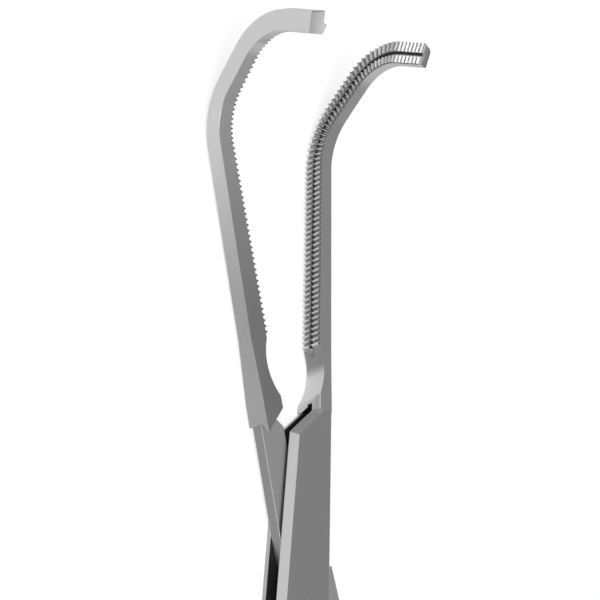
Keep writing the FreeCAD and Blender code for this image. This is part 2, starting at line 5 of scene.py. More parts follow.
import bmesh
import bpy
import numpy as np
from mathutils import Matrix, Vector


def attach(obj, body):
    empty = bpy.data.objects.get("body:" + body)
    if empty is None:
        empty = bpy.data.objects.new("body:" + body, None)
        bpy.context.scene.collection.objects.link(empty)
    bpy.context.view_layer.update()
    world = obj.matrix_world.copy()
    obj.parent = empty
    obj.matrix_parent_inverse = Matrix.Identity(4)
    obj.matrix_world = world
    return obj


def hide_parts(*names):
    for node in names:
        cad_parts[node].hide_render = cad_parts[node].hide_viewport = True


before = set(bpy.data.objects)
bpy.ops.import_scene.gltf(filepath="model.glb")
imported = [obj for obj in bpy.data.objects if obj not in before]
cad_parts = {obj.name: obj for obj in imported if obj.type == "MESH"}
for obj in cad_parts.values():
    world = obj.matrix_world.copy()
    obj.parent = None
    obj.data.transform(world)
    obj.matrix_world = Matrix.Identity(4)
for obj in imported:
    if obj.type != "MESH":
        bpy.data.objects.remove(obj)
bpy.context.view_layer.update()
MM = 0.001

# Sizes in millimetres, in the closed jaw's own plane
OPEN_ANGLE = math.radians(14.35)
MID_HEIGHT = 1.25
LOCK_TOP = 16.9
LOCK_BEVEL = 0.6
SHOULDER = 16.9 + 0.12 * math.sqrt(2)
ROW_START = 22.64
CORNERS = [(22.64, 0.0), (42.94, 0.0), (48.69, 7.89), (45.64, 14.37)]
BEND_RADII = [5.94, 5.8]
HEEL_HALF = 1.25
HEEL_SLOPE = math.tan(math.radians(11.3))
OUTER = (0.93, 1.07)
INNER = (1.17, 0.91)
OUTER_DRAFT, INNER_DRAFT = 0.17, 0.28
JAW_THICK, THIN_ALONG, THIN_RISE = 1.77, 0.0163, 0.0195
TIP_SLANT = 0.5
TIP_TRIM = 0.13
CAD_REACH = 48.78
HEEL_BACK = 0.04
NECK_DEPTH, NECK_FOOT = 0.65, 17.9
TOOTH_PITCH, TOOTH_BASE, TOOTH_CREST = 0.49, 0.36, 0.05
TOOTH_ROOT, TOOTH_REACH = 0.2, 0.08
TOOTH_FOOT, TOOTH_SETBACK = 0.42, 0.05
ROW_MARGIN = 0.25
GROOVE_STEEP, GROOVE_SLOPE, GROOVE_DEPTH = 0.13, 0.3, 0.34
RIDGE_HEIGHT, RIDGE_PLAY = 0.24, 0.045
BACK_OUTER, BACK_INNER = 0.1, 0.06
WEB_SIDE, SLOT_NOTCH = 0.7, 0.75
FRONT_WALL, REAR_WALL = 0.65, 0.5
EDGE_BREAK, ROOT_SINK = 0.01, 0.08
TIP_RUN = 2.5
FEMALE_TIP_ROUND, MALE_TIP_ROUND = 0.5, 0.15
# length near the tip where the groove's slope takes a painted highlight
HIGHLIGHT_RUN = 9.0

# Finishes of a jaw's body, in the order of its materials; the floors between the teeth, the groove's steep side
# and the slot's end carry painted shade, the groove's slope near the tip a painted highlight
PLAIN, SHADED_VALLEY, SHADED_GROOVE, SLOT_END, HIGHLIT_GROOVE, TIP_END = range(6)


# Shader groups and materials
def group_socket(group, name, kind, way, value=None):
    """One named socket of a node group."""
    socket = group.interface.new_socket(name=name, in_out=way, socket_type=kind)
    if value is not None:
        socket.default_value = value
    return socket


def satin_group():
    """Satin steel: fine blasted grain, faint clouding and long polishing strokes."""
    group = bpy.data.node_groups.new("Satin steel", "ShaderNodeTree")
    for name, value in (("Grain size", 9000.0), ("Grain depth", 0.25), ("Cloud size", 220.0), ("Cloud depth", 0.06),
                        ("Stroke size", 2500.0), ("Stroke depth", 0.04), ("Roughness", 0.34)):
        group_socket(group, name, "NodeSocketFloat", "INPUT", value)
    group_socket(group, "Steel", "NodeSocketColor", "INPUT", (0.6, 0.6, 0.6, 1))
    group_socket(group, "Color", "NodeSocketColor", "OUTPUT")
    group_socket(group, "Roughness", "NodeSocketFloat", "OUTPUT")
    group_socket(group, "Height", "NodeSocketFloat", "OUTPUT")
    nodes, links = group.nodes, group.links
    source = nodes.new("NodeGroupInput")
    result = nodes.new("NodeGroupOutput")
    place = nodes.new("ShaderNodeTexCoord")

    def noise(scale, detail, stretch=None):
        """A noise on the object's own place; stretch draws it out along X."""
        texture = nodes.new("ShaderNodeTexNoise")
        texture.inputs["Detail"].default_value = detail
        if stretch:
            mapping = nodes.new("ShaderNodeMapping")
            mapping.inputs["Scale"].default_value = (stretch, 1, 1)
            links.new(place.outputs["Object"], mapping.inputs["Vector"])
            links.new(mapping.outputs["Vector"], texture.inputs["Vector"])
        else:
            links.new(place.outputs["Object"], texture.inputs["Vector"])
        links.new(source.outputs[scale], texture.inputs["Scale"])
        return texture.outputs["Fac"]

    def centred(value, depth):
        """The noise about zero, times a depth."""
        shift = nodes.new("ShaderNodeMath")
        shift.operation = "SUBTRACT"
        links.new(value, shift.inputs[0])
        shift.inputs[1].default_value = 0.5
        times = nodes.new("ShaderNodeMath")
        times.operation = "MULTIPLY"
        links.new(shift.outputs[0], times.inputs[0])
        links.new(source.outputs[depth], times.inputs[1])
        return times.outputs[0]

    def add(first, second):
        """The sum of two values."""
        total = nodes.new("ShaderNodeMath")
        total.operation = "ADD"
        links.new(first, total.inputs[0])
        if isinstance(second, float):
            total.inputs[1].default_value = second
        else:
            links.new(second, total.inputs[1])
        return total.outputs[0]

    grain = noise("Grain size", 2.0)
    cloud = noise("Cloud size", 3.0)
    stroke = noise("Stroke size", 1.0, 0.04)
    clouds = centred(cloud, "Cloud depth")
    strokes = centred(stroke, "Stroke depth")
    shade = add(add(clouds, strokes), 1.0)
    tint = nodes.new("ShaderNodeVectorMath")
    tint.operation = "SCALE"
    links.new(source.outputs["Steel"], tint.inputs[0])
    links.new(shade, tint.inputs["Scale"])
    links.new(tint.outputs["Vector"], result.inputs["Color"])
    links.new(add(add(source.outputs["Roughness"], clouds), strokes), result.inputs["Roughness"])
    links.new(add(centred(grain, "Grain depth"), strokes), result.inputs["Height"])
    return group


SATIN = satin_group()


def steel(name, colour, roughness, foot=None, **depths):
    """A steel finish: the satin group in a metal shader. With a foot tone, it darkens
    to that tone as painted shade where the mesh's painted light value falls from one to nought."""
    material = bpy.data.materials.new(name)
    material.use_nodes = True
    nodes, links = material.node_tree.nodes, material.node_tree.links
    shader = nodes["Principled BSDF"]
    shader.inputs["Metallic"].default_value = 1.0
    satin = nodes.new("ShaderNodeGroup")
    satin.node_tree = SATIN
    satin.inputs["Steel"].default_value = (*colour, 1)
    satin.inputs["Roughness"].default_value = roughness
    for key, value in depths.items():
        satin.inputs[key.replace("_", " ").capitalize()].default_value = value
    bump = nodes.new("ShaderNodeBump")
    bump.inputs["Strength"].default_value = 0.25
    bump.inputs["Distance"].default_value = 0.02 * MM
    if foot is None:
        links.new(satin.outputs["Color"], shader.inputs["Base Color"])
    else:
        # painted light and shade: a tone stored per corner scales the steel's colour
        painted_light = nodes.new("ShaderNodeAttribute")
        painted_light.attribute_name = "PaintedLight"
        tone = nodes.new("ShaderNodeMapRange")
        tone.inputs["From Min"].default_value = 0.25 if foot else 0.0
        tone.inputs["To Min"].default_value = foot
        links.new(painted_light.outputs["Fac"], tone.inputs["Value"])
        darker = nodes.new("ShaderNodeVectorMath")
        darker.operation = "SCALE"
        links.new(satin.outputs["Color"], darker.inputs[0])
        links.new(tone.outputs[0], darker.inputs["Scale"])
        links.new(darker.outputs["Vector"], shader.inputs["Base Color"])
    links.new(satin.outputs["Roughness"], shader.inputs["Roughness"])
    links.new(satin.outputs["Height"], bump.inputs["Height"])
    links.new(bump.outputs["Normal"], shader.inputs["Normal"])
    return material


# painted light and shade: the jaw's colour is scaled by the tones that tone_faces stores
JAW_STEEL = steel("Satin jaw steel", (0.84, 0.84, 0.84), 0.38, foot=0.0)
# painted highlight: teeth brighter than the jaw's steel; painted shade darkens each tooth towards its foot
TOOTH_PAINTED_LIGHT_STEEL = steel("Tooth steel, painted highlight and shade", (0.97, 0.97, 0.97), 0.26, foot=0.3)
# painted shade on the floors between the teeth
VALLEY_SHADE_STEEL = steel("Valley steel, painted shade", (0.45, 0.45, 0.45), 0.45)
# painted highlight on the groove's slope near the tip
GROOVE_HIGHLIGHT_STEEL = steel("Groove steel, painted highlight", (0.97, 0.97, 0.97), 0.25)
# painted shade on the groove's steep side
GROOVE_SHADE_STEEL = steel("Groove steel, painted shade", (0.06, 0.06, 0.06), 0.5)
# painted shade inside the box's slot and the heel's notch
SLOT_SHADE_STEEL = steel("Slot steel, painted shade", (0.08, 0.08, 0.08), 0.6)
TONGUE_STEEL = steel("Satin tongue steel", (0.8, 0.8, 0.8), 0.42)
# painted shade on the tongue's side faces
TONGUE_SIDE_SHADE_STEEL = steel("Tongue side steel, painted shade", (0.4, 0.4, 0.4), 0.45)
LOCK_STEEL = steel("Satin lock steel", (0.62, 0.62, 0.62), 0.42)
HANDLE_STEEL = steel("Satin handle steel", (0.66, 0.66, 0.66), 0.36)


# Mesh helpers
def piece_from(name, mesh, materials, body, sharp=35.0, flat=None):
    """Finish a mesh as a piece of the clamp."""
    item = bpy.data.objects.new(name, mesh)
    bpy.context.scene.collection.objects.link(item)
    kept = [polygon.material_index for polygon in mesh.polygons]
    mesh.materials.clear()
    for material in materials:
        mesh.materials.append(material)
    for polygon, index in zip(mesh.polygons, kept):
        polygon.material_index = min(index, len(materials) - 1)
        polygon.use_smooth = True
    mesh.set_sharp_from_angle(angle=math.radians(sharp))
    for polygon, index in zip(mesh.polygons, kept):
        if index == flat:
            polygon.use_smooth = False
    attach(item, body)
    return item


def loft(name, rings, finishes):
    """A closed mesh through rings of as many points each, in metres; a finish per face."""
    count = len(rings[0])
    points = [point for ring in rings for point in ring]
    faces = []
    for row in range(len(rings) - 1):
        for index in range(count):
            after = (index + 1) % count
            faces.append((row * count + index, row * count + after,
                          (row + 1) * count + after, (row + 1) * count + index))
    faces.append(tuple(reversed(range(count))))
    faces.append(tuple(range((len(rings) - 1) * count, len(rings) * count)))
    mesh = bpy.data.meshes.new(name)
    mesh.from_pydata(points, [], faces)
    for polygon, finish in zip(mesh.polygons, finishes):
        polygon.material_index = finish
    build = bmesh.new()
    build.from_mesh(mesh)
    bmesh.ops.triangulate(build, faces=[face for face in build.faces if len(face.verts) > 4])
    bmesh.ops.recalc_face_normals(build, faces=build.faces)
    build.to_mesh(mesh)
    build.free()
    return mesh


# The jaw's centre line
def centre_runs():
    """Straights and bends as (kind, start, way, length, radius)."""
    corners = [Vector(corner) for corner in CORNERS]
    ways = [(corners[i + 1] - corners[i]).normalized() for i in range(3)]
    runs = []
    last = corners[0]
    for index in range(2):
        turn = ways[index].angle(ways[index + 1])
        tangent = BEND_RADII[index] * math.tan(turn / 2)
        begin = corners[index + 1] - ways[index] * tangent
        runs.append(("line", last, ways[index], (begin - last).length, 0.0))
        runs.append(("bend", begin, ways[index], BEND_RADII[index] * turn, BEND_RADII[index]))
        last = corners[index + 1] + ways[index + 1] * tangent
    runs.append(("line", last, ways[2], (corners[3] - last).length, 0.0))
    return runs


RUNS = centre_runs()
ROW_LENGTH = sum(run[3] for run in RUNS)
ROW_END = ROW_LENGTH - ROW_MARGIN - 0.05


def along(distance):
    """Place and way of the centre line; a negative distance is on the heel."""
    for kind, start, way, length, radius in RUNS:
        if distance <= length or (kind, start) == (RUNS[-1][0], RUNS[-1][1]):
            if kind == "line":
                return start + way * distance, way
            angle = distance / radius
            inward = Vector((-way.y, way.x))
            place = start + way * (radius * math.sin(angle)) + inward * (radius * (1 - math.cos(angle)))
            return place, way * math.cos(angle) + inward * math.sin(angle)
        distance -= length
    raise ValueError(distance)


def neck_circle():
    """Centre and radius of the neck's scoop, through three points."""
    ax, ay = ROW_START - TOOTH_BASE / 2, -TOOTH_ROOT
    cx, cy = NECK_FOOT, -HEEL_BACK
    bx, by = (ax + cx) / 2, -NECK_DEPTH
    d = 2 * (ax * (by - cy) + bx * (cy - ay) + cx * (ay - by))
    ux = ((ax ** 2 + ay ** 2) * (by - cy) + (bx ** 2 + by ** 2) * (cy - ay) + (cx ** 2 + cy ** 2) * (ay - by)) / d
    uy = ((ax ** 2 + ay ** 2) * (cx - bx) + (bx ** 2 + by ** 2) * (ax - cx) + (cx ** 2 + cy ** 2) * (bx - ax)) / d
    return ux, uy, math.hypot(ax - ux, ay - uy)


NECK_ALONG, NECK_OUT, NECK_RADIUS = neck_circle()


def biting_level(x, rise, tilt):
    """Level of the biting side at a height over the mid plane: heel, neck and tooth roots."""
    if x >= ROW_START - TOOTH_BASE / 2:
        return -TOOTH_ROOT
    heel = -HEEL_BACK - tilt * HEEL_SLOPE * rise
    if x > NECK_ALONG:
        heel = 1.0
    beside = NECK_RADIUS ** 2 - (x - NECK_ALONG) ** 2
    return min(heel, NECK_OUT - math.sqrt(beside)) if beside > 0 else heel


def jaw_section(distance, female, tip_round):
    """Points of one section as (across outwards, level), and the level of the back.
    They run from the ridge over the outer edge, the back and the inner edge to the groove's slope."""
    share = max(distance, 0.0) / ROW_LENGTH
    outer = OUTER[0] + (OUTER[1] - OUTER[0]) * share
    inner = INNER[0] + (INNER[1] - INNER[0]) * share
    place, _ = along(distance)
    heel = 0.0
    if distance < 0:
        heel = min(-distance / (ROW_START - LOCK_TOP), 1.0)
        outer += (HEEL_HALF - outer) * heel
        inner += (HEEL_HALF - inner) * heel
    if distance > ROW_LENGTH - tip_round:
        step = distance - (ROW_LENGTH - tip_round)
        outer -= tip_round - math.sqrt(max(tip_round ** 2 - step ** 2, 0.0))
    back = -(JAW_THICK - THIN_ALONG * (place.x - ROW_START) - THIN_RISE * place.y)
    tilt = 1 if female else -1
    past_teeth = distance > ROW_END

    def top(across):
        """Level of the biting side at a distance across."""
        if past_teeth:
            return -HEEL_BACK
        return biting_level(place.x, -across, tilt)

    toothed = min(max((place.x - (ROW_START - 1.0)) / 0.6, 0.0), 1.0)
    edge = EDGE_BREAK
    left = outer - OUTER_DRAFT
    right = inner - INNER_DRAFT * (1 - share) * (1 - (0 if female else heel))
    ridge = -GROOVE_STEEP / 4
    steep, slope = GROOVE_STEEP, -GROOVE_SLOPE
    peak = -(GROOVE_DEPTH - TOOTH_ROOT)
    if not female:
        steep, slope, peak = steep - RIDGE_PLAY, slope + RIDGE_PLAY, RIDGE_HEIGHT + TOOTH_ROOT
    crest = top(ridge) + peak * toothed
    sloped = [(-HEEL_HALF / 2, top(-HEEL_HALF / 2)), (slope, top(slope))]
    if past_teeth:
        # past the last tooth the groove and the ridge slope all the way to the inner edge
        crest = -GROOVE_DEPTH if female else RIDGE_HEIGHT
        sloped = [(across, crest + (-HEEL_BACK - crest) * (across - ridge) / (edge - inner - ridge))
                  for across, _ in sloped]
    points = [(ridge, crest), (steep, top(steep)),
              (outer - edge, top(outer)), (outer, top(outer) - edge)]

    def corner(x, y, radius, begin):
        """A rounded back corner."""
        return [(x + radius * math.cos(begin - step * math.pi / 8), y + radius * math.sin(begin - step * math.pi / 8))
                for step in range(5)]

    points += corner(left - BACK_OUTER, back + BACK_OUTER, BACK_OUTER, 0.0)
    points += [(-HEEL_HALF / 2, back)]
    points += corner(-right + BACK_INNER, back + BACK_INNER, BACK_INNER, -math.pi / 2)
    points += [(-inner, top(-inner) - edge), (-inner + edge, top(-inner))] + sloped
    return points, back


def root_end(rise, level, female):
    """How far down the jaw's root goes at a height over the mid plane."""
    if female:
        return LOCK_TOP
    undercut = max(rise + MID_HEIGHT - (2 * MID_HEIGHT - LOCK_BEVEL), 0.0)
    return SHOULDER - math.sqrt(2) * undercut + level


def jaw_mesh(name, female):
    """The jaw without its teeth, from the box lock to the tip."""
    tip_round = FEMALE_TIP_ROUND if female else MALE_TIP_ROUND
    heel = LOCK_TOP - ROW_START
    stations = [heel] + list(np.arange(heel + 0.35, 0.6, 0.1)) + list(np.arange(0.6, ROW_LENGTH - 0.6, 0.3))
    stations += list(ROW_LENGTH - np.array([0.55, 0.42, 0.31, 0.295, 0.2, 0.14, 0.09, 0.05, 0.02, 0.0]))
    rings = []
    finishes = []
    for number, distance in enumerate(stations):
        points, back = jaw_section(float(distance), female, tip_round)
        near_tip = min(max((distance - ROW_LENGTH + TIP_RUN) / TIP_RUN, 0.0), 1.0)
        ring = []
        for across, level in points:
            slant = (TIP_SLANT * level / back + TIP_TRIM) * near_tip
            place, way = along(float(distance) - slant)
            x = min(place.x + way.y * across, CAD_REACH)
            z = place.y - way.x * across
            if number == 0:
                x = root_end(z, level, female)
            y = level if female else -level
            ring.append(turned(Vector((x, y, z + MID_HEIGHT)), 0.0 if female else OPEN_ANGLE) * MM)
        rings.append(ring)
        finish = [PLAIN] * len(points)
        if 0 < distance < ROW_END:
            # painted shade on the floors between the teeth and on the groove's steep side, and a painted highlight on
            # the groove's slope near the tip
            for index in (1, 2, -4, -3, -2):
                finish[index] = SHADED_VALLEY
            if female:
                finish[0] = SHADED_GROOVE
                if distance > ROW_LENGTH - HIGHLIGHT_RUN:
                    finish[-1] = HIGHLIT_GROOVE
        finishes += finish
    return loft(name, rings, finishes)


def turned(point, angle):
    """A point turned about the hinge axis."""
    return Vector((point.x * math.cos(angle) - point.y * math.sin(angle),
                   point.x * math.sin(angle) + point.y * math.cos(angle), point.z))


# Teeth along the centre line, by Geometry Nodes
def tooth_tree():
    """Teeth at a pitch along a line, each a wedge that narrows to its crest."""
    tree = bpy.data.node_groups.new("Tooth row", "GeometryNodeTree")
    group_socket(tree, "Line", "NodeSocketGeometry", "INPUT")
    for name, value in (("Pitch", 0.49 * MM), ("Near edge", 0.13 * MM), ("Far edge first", 0.9 * MM),
                        ("Far edge last", 1.0 * MM), ("Foot width", 0.36 * MM), ("Crest width", 0.05 * MM),
                        ("Foot level", -0.2 * MM), ("Crest level", 0.08 * MM), ("Side", 1.0)):
        group_socket(tree, name, "NodeSocketFloat", "INPUT", value)
    group_socket(tree, "Finish", "NodeSocketMaterial", "INPUT")
    group_socket(tree, "Teeth", "NodeSocketGeometry", "OUTPUT")
    nodes, links = tree.nodes, tree.links
    source = nodes.new("NodeGroupInput")
    result = nodes.new("NodeGroupOutput")

    def math_node(operation, first, second):
        """A sum, product or other function of two values."""
        node = nodes.new("ShaderNodeMath")
        node.operation = operation
        for socket, value in zip(node.inputs, (first, second)):
            if isinstance(value, (int, float)):
                socket.default_value = value
            else:
                links.new(value, socket)
        return node.outputs[0]

    to_curve = nodes.new("GeometryNodeMeshToCurve")
    links.new(source.outputs["Line"], to_curve.inputs[0])
    spaced = nodes.new("GeometryNodeResampleCurve")
    spaced.mode = "LENGTH"
    links.new(to_curve.outputs[0], spaced.inputs["Curve"])
    links.new(source.outputs["Pitch"], spaced.inputs["Length"])
    share = nodes.new("GeometryNodeSplineParameter")
    tangent = nodes.new("GeometryNodeInputTangent")
    # how far each tooth reaches across, from the groove to near the jaw's edge
    reach = nodes.new("ShaderNodeMix")
    links.new(share.outputs["Factor"], reach.inputs[0])
    links.new(source.outputs["Far edge first"], reach.inputs[2])
    links.new(source.outputs["Far edge last"], reach.inputs[3])
    width = math_node("SUBTRACT", reach.outputs[0], source.outputs["Near edge"])
    # one tooth: a unit cube from y = 0 to 1 (level) whose top narrows in x
    cube = nodes.new("GeometryNodeMeshCube")
    cube.inputs["Size"].default_value = (1, 1, 1)
    place = nodes.new("GeometryNodeInputPosition")
    parts = nodes.new("ShaderNodeSeparateXYZ")
    links.new(place.outputs[0], parts.inputs[0])
    level = math_node("ADD", parts.outputs["Y"], 0.5)
    narrow = math_node("SUBTRACT", source.outputs["Crest width"], source.outputs["Foot width"])
    across_at = math_node("ADD", source.outputs["Foot width"], math_node("MULTIPLY", narrow, level))
    new_x = math_node("MULTIPLY", parts.outputs["X"], across_at)
    rise = math_node("SUBTRACT", source.outputs["Crest level"], source.outputs["Foot level"])
    new_y = math_node("ADD", source.outputs["Foot level"], math_node("MULTIPLY", rise, level))
    new_z = math_node("MULTIPLY", math_node("ADD", parts.outputs["Z"], 0.5), source.outputs["Side"])
    joined = nodes.new("ShaderNodeCombineXYZ")
    for socket, value in zip(joined.inputs, (new_x, new_y, new_z)):
        links.new(value, socket)
    # painted shade: each tooth stores its level, nought at the foot and one at the crest, and the material darkens the
    # foot by it
    crest = nodes.new("GeometryNodeStoreNamedAttribute")
    crest.data_type = "FLOAT"
    crest.domain = "POINT"
    crest.inputs["Name"].default_value = "PaintedLight"
    links.new(cube.outputs["Mesh"], crest.inputs["Geometry"])
    links.new(level, crest.inputs["Value"])
    shaped = nodes.new("GeometryNodeSetPosition")
    links.new(crest.outputs["Geometry"], shaped.inputs["Geometry"])
    links.new(joined.outputs[0], shaped.inputs["Position"])
    # inwards: the line's way turned to the jaw's hollow side
    inwards = nodes.new("ShaderNodeVectorMath")
    inwards.operation = "CROSS_PRODUCT"
    inwards.inputs[1].default_value = (0, 1, 0)
    links.new(tangent.outputs[0], inwards.inputs[0])
    turn = nodes.new("FunctionNodeAxesToRotation")
    turn.primary_axis = "X"
    turn.secondary_axis = "Y"
    links.new(tangent.outputs[0], turn.inputs[0])
    turn.inputs[1].default_value = (0, 1, 0)
    scale = nodes.new("ShaderNodeCombineXYZ")
    scale.inputs["X"].default_value = 1.0
    scale.inputs["Y"].default_value = 1.0
    links.new(width, scale.inputs["Z"])
    offset = nodes.new("ShaderNodeVectorMath")
    offset.operation = "SCALE"
    links.new(inwards.outputs[0], offset.inputs[0])
    links.new(math_node("MULTIPLY", source.outputs["Near edge"], source.outputs["Side"]), offset.inputs["Scale"])
    moved = nodes.new("GeometryNodeSetPosition")
    links.new(spaced.outputs[0], moved.inputs["Geometry"])
    links.new(offset.outputs[0], moved.inputs["Offset"])
    placed = nodes.new("GeometryNodeInstanceOnPoints")
    links.new(moved.outputs[0], placed.inputs["Points"])
    links.new(shaped.outputs[0], placed.inputs["Instance"])
    links.new(turn.outputs[0], placed.inputs["Rotation"])
    links.new(scale.outputs[0], placed.inputs["Scale"])
    real = nodes.new("GeometryNodeRealizeInstances")
    links.new(placed.outputs[0], real.inputs[0])
    finish = nodes.new("GeometryNodeSetMaterial")
    links.new(real.outputs[0], finish.inputs["Geometry"])
    links.new(source.outputs["Finish"], finish.inputs["Material"])
    links.new(finish.outputs[0], result.inputs[0])
    return tree


TOOTH_ROW = tooth_tree()


def set_input(modifier, name, value):
    """Set a tree's input by its socket's identifier."""
    for item in modifier.node_group.interface.items_tree:
        if item.item_type == "SOCKET" and item.in_out == "INPUT" and item.name == name:
            modifier[item.identifier] = value
            return
    raise KeyError(name)


def grown(carrier):
    """The plain mesh of a carrier's evaluated modifiers; the carrier is removed."""
    graph = bpy.context.evaluated_depsgraph_get()
    mesh = bpy.data.meshes.new_from_object(carrier.evaluated_get(graph))
    bpy.data.objects.remove(carrier)
    return mesh


def tooth_mesh(shift, outwards):
    """One row of teeth of a closed jaw, in the plane of its biting face."""
    count = int((ROW_LENGTH - ROW_MARGIN) / TOOTH_PITCH - shift)
    start = TOOTH_BASE / 2 + shift * TOOTH_PITCH
    stop = start + (count - 1) * TOOTH_PITCH
    fine = np.linspace(start, stop, (count - 1) * 6 + 1)
    points = []
    for distance in fine:
        place, _ = along(float(distance))
        points.append(Vector((place.x, 0, place.y + MID_HEIGHT)) * MM)
    line = bpy.data.meshes.new("tooth line")
    line.from_pydata(points, [(index, index + 1) for index in range(len(points) - 1)], [])
    carrier = bpy.data.objects.new("tooth line", line)
    bpy.context.scene.collection.objects.link(carrier)
    modifier = carrier.modifiers.new("teeth", "NODES")
    modifier.node_group = TOOTH_ROW
    near, edges = (GROOVE_STEEP, OUTER) if outwards else (GROOVE_SLOPE, INNER)
    for name, value in (("Pitch", TOOTH_PITCH * MM), ("Near edge", near * MM),
                        ("Far edge first", (edges[0] - TOOTH_SETBACK) * MM),
                        ("Far edge last", (edges[1] - TOOTH_SETBACK) * MM), ("Foot width", TOOTH_FOOT * MM),
                        ("Crest width", TOOTH_CREST * MM), ("Foot level", -(TOOTH_ROOT + ROOT_SINK) * MM),
                        ("Crest level", TOOTH_REACH * MM), ("Side", -1.0 if outwards else 1.0),
                        ("Finish", TOOTH_PAINTED_LIGHT_STEEL)):
        set_input(modifier, name, value)
    return grown(carrier)


def join_meshes(name, meshes):
    """Several meshes as one."""
    build = bmesh.new()
    for mesh in meshes:
        build.from_mesh(mesh)
    mesh = bpy.data.meshes.new(name)
    build.to_mesh(mesh)
    build.free()
    return mesh


def transform_mesh(mesh, matrix):
    """Move a mesh's points; a mirror turns its faces the right way out again."""
    mesh.transform(matrix)
    if matrix.determinant() < 0:
        mesh.flip_normals()


def outside_out(mesh):
    """Faces of closed shells point outwards."""
    build = bmesh.new()
    build.from_mesh(mesh)
    bmesh.ops.recalc_face_normals(build, faces=build.faces)
    build.to_mesh(mesh)
    build.free()


def notched(mesh):
    """The female jaw's heel with the slanted end of the box's slot cut into it."""
    low = Vector((LOCK_TOP - 1.0, -WEB_SIDE - 0.12, REAR_WALL))
    high = Vector((LOCK_TOP + SLOT_NOTCH - 0.05, 2.0, 2 * MID_HEIGHT - FRONT_WALL - 0.25))
    outline = [(low.x, low.z), (LOCK_TOP, low.z), (high.x, high.z), (low.x, high.z)]
    rings = [[Vector((x, y, z)) * MM for x, z in outline] for y in (low.y, high.y)]
    cutter_mesh = loft("slot end", rings, [])
    cutter = bpy.data.objects.new("slot end", cutter_mesh)
    carrier = bpy.data.objects.new("notched jaw", mesh)
    for item in (cutter, carrier):
        bpy.context.scene.collection.objects.link(item)
    cut = carrier.modifiers.new("slot end", "BOOLEAN")
    cut.object = cutter
    cut.operation = "DIFFERENCE"
    cut.solver = "EXACT"
    bpy.context.view_layer.update()
    result = grown(carrier)
    bpy.data.objects.remove(cutter)
    # painted shade: the faces of the cut notch take the dark slot steel
    for polygon in result.polygons:
        inside = [all(low[axis] - 0.01 < result.vertices[index].co[axis] / MM < high[axis] + 0.01 for axis in range(3))
                  for index in polygon.vertices]
        if all(inside):
            polygon.material_index = SLOT_END
    return result


def smooth(value, low, high):
    """Nought below low, one above high, and a soft rise between."""
    share = min(max((value - low) / (high - low), 0.0), 1.0)
    return share * share * (3 - 2 * share)


def tone_faces(mesh, female):
    """Store painted light and shade at each face's corners: the scooped neck darkens towards
    the teeth as painted shade, an end face darkens towards the back as painted shade, and the male jaw's back
    and hollow side brighten towards the tip, a painted reflection of the floor, shaded near the lock and lit further
    out."""
    tone = mesh.attributes.new("PaintedLight", "FLOAT", "CORNER")
    for polygon in mesh.polygons:
        middle = polygon.center / MM
        facing = polygon.normal
        if not female:
            middle, facing = turned(middle, -OPEN_ANGLE), turned(facing, -OPEN_ANGLE)
        biting = facing.y if female else -facing.y
        for corner in polygon.loop_indices:
            place = mesh.vertices[mesh.loops[corner].vertex_index].co / MM
            if not female:
                place = turned(place, -OPEN_ANGLE)
            # painted reflection: darker towards the lock, brighter towards the tip
            value = 0.6 + 0.4 * smooth(place.x, 24.0, 44.0)
            # painted shade on the scooped neck, darker towards the teeth
            if biting > 0.3 and place.x < ROW_START:
                value = 1.0 - 0.55 * smooth(place.x, 20.0, 21.2)
            # painted shade on the end face, darker towards the back
            elif middle.x > 45.0 and facing.z > 0.6:
                value = 0.5 + 0.35 * smooth(place.y if female else -place.y, -1.4, 0.2)
                polygon.material_index = TIP_END
            elif female or (biting > -0.3 and facing.z < 0.3):
                value = 0.85
            tone.data[corner].value = value


def make_jaws():
    """Both jaws with their rows of teeth."""
    for prefix, female, shift in (("female", True, 0.0), ("male", False, 0.5)):
        body = prefix + "_half"
        mesh = jaw_mesh(prefix + "_jaw_body", female)
        if female:
            mesh = notched(mesh)
        tone_faces(mesh, female)
        # painted shade in the valleys, the groove's steep side and the slot's end, and a painted highlight on the
        # groove's slope
        finishes = [JAW_STEEL, VALLEY_SHADE_STEEL, GROOVE_SHADE_STEEL, SLOT_SHADE_STEEL, GROOVE_HIGHLIGHT_STEEL, JAW_STEEL]
        jaw = piece_from(prefix + "_jaw_body", mesh, finishes, body, flat=TIP_END)
        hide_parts(prefix + "_jaw")
        rows = join_meshes(prefix + "_teeth", [tooth_mesh(shift, True), tooth_mesh(shift, False)])
        if not female:
            transform_mesh(rows, Matrix.Rotation(OPEN_ANGLE, 4, "Z") @ Matrix.Scale(-1, 4, (0, 1, 0)))
        outside_out(rows)
        piece_from(prefix + "_teeth", rows, [TOOTH_PAINTED_LIGHT_STEEL], body, 20.0)


make_jaws()


# Lock, pin, shanks, ratchet and rings: finish and softened edges
def dress(node, material, width):
    """Give a CAD node its finish and soften its edges."""
    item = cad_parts[node]
    item.data.materials.clear()
    item.data.materials.append(material)
    if not width:
        return
    weld = item.modifiers.new("join", "WELD")
    weld.merge_threshold = 0.002 * MM
    bevel = item.modifiers.new("soft edges", "BEVEL")
    bevel.width = width * MM
    bevel.segments = 3
    bevel.limit_method = "ANGLE"
    bevel.angle_limit = math.radians(30)
    bevel.harden_normals = True
    bevel.use_clamp_overlap = True


